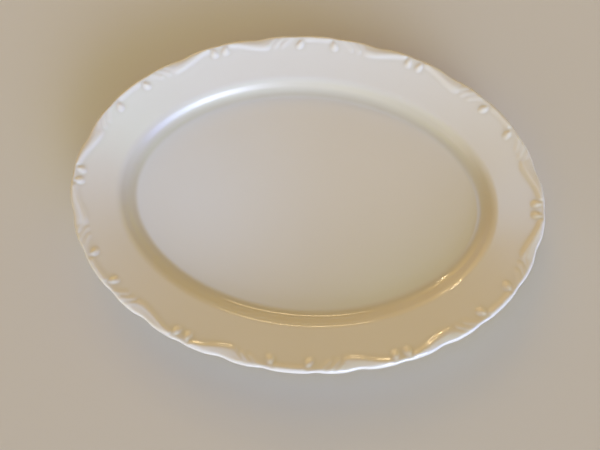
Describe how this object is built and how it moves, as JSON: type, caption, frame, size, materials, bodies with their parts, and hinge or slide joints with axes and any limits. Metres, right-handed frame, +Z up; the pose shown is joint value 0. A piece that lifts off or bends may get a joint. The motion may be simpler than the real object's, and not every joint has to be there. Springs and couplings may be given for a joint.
{
  "type": "serving platter",
  "caption": "Oval porcelain serving platter with a flat well, a sloping rim with a moulded scroll border and scalloped lip, and a low foot ring.",
  "frame": {"origin": "centre of the plane that the foot ring stands on", "axes": "+X along the oval's long axis, +Y along its short axis, +Z up out of the well"},
  "size_m": [0.3606, 0.2652, 0.0285],
  "materials": {
    "clay_body": "fired white porcelain body, matt where it is bare",
    "bare_foot": "unglazed bearing ring, ground smooth",
    "glaze": "clear gloss glaze over white porcelain"
  },
  "bodies": {
    "root": {"well_floor": "clay_body", "cavetto_wall": "clay_body", "flange": "clay_body", "foot_ring": "bare_foot", "upper_glaze": "glaze", "underside_glaze": "glaze", "recess_glaze": "glaze"}
  },
  "joints": []
}
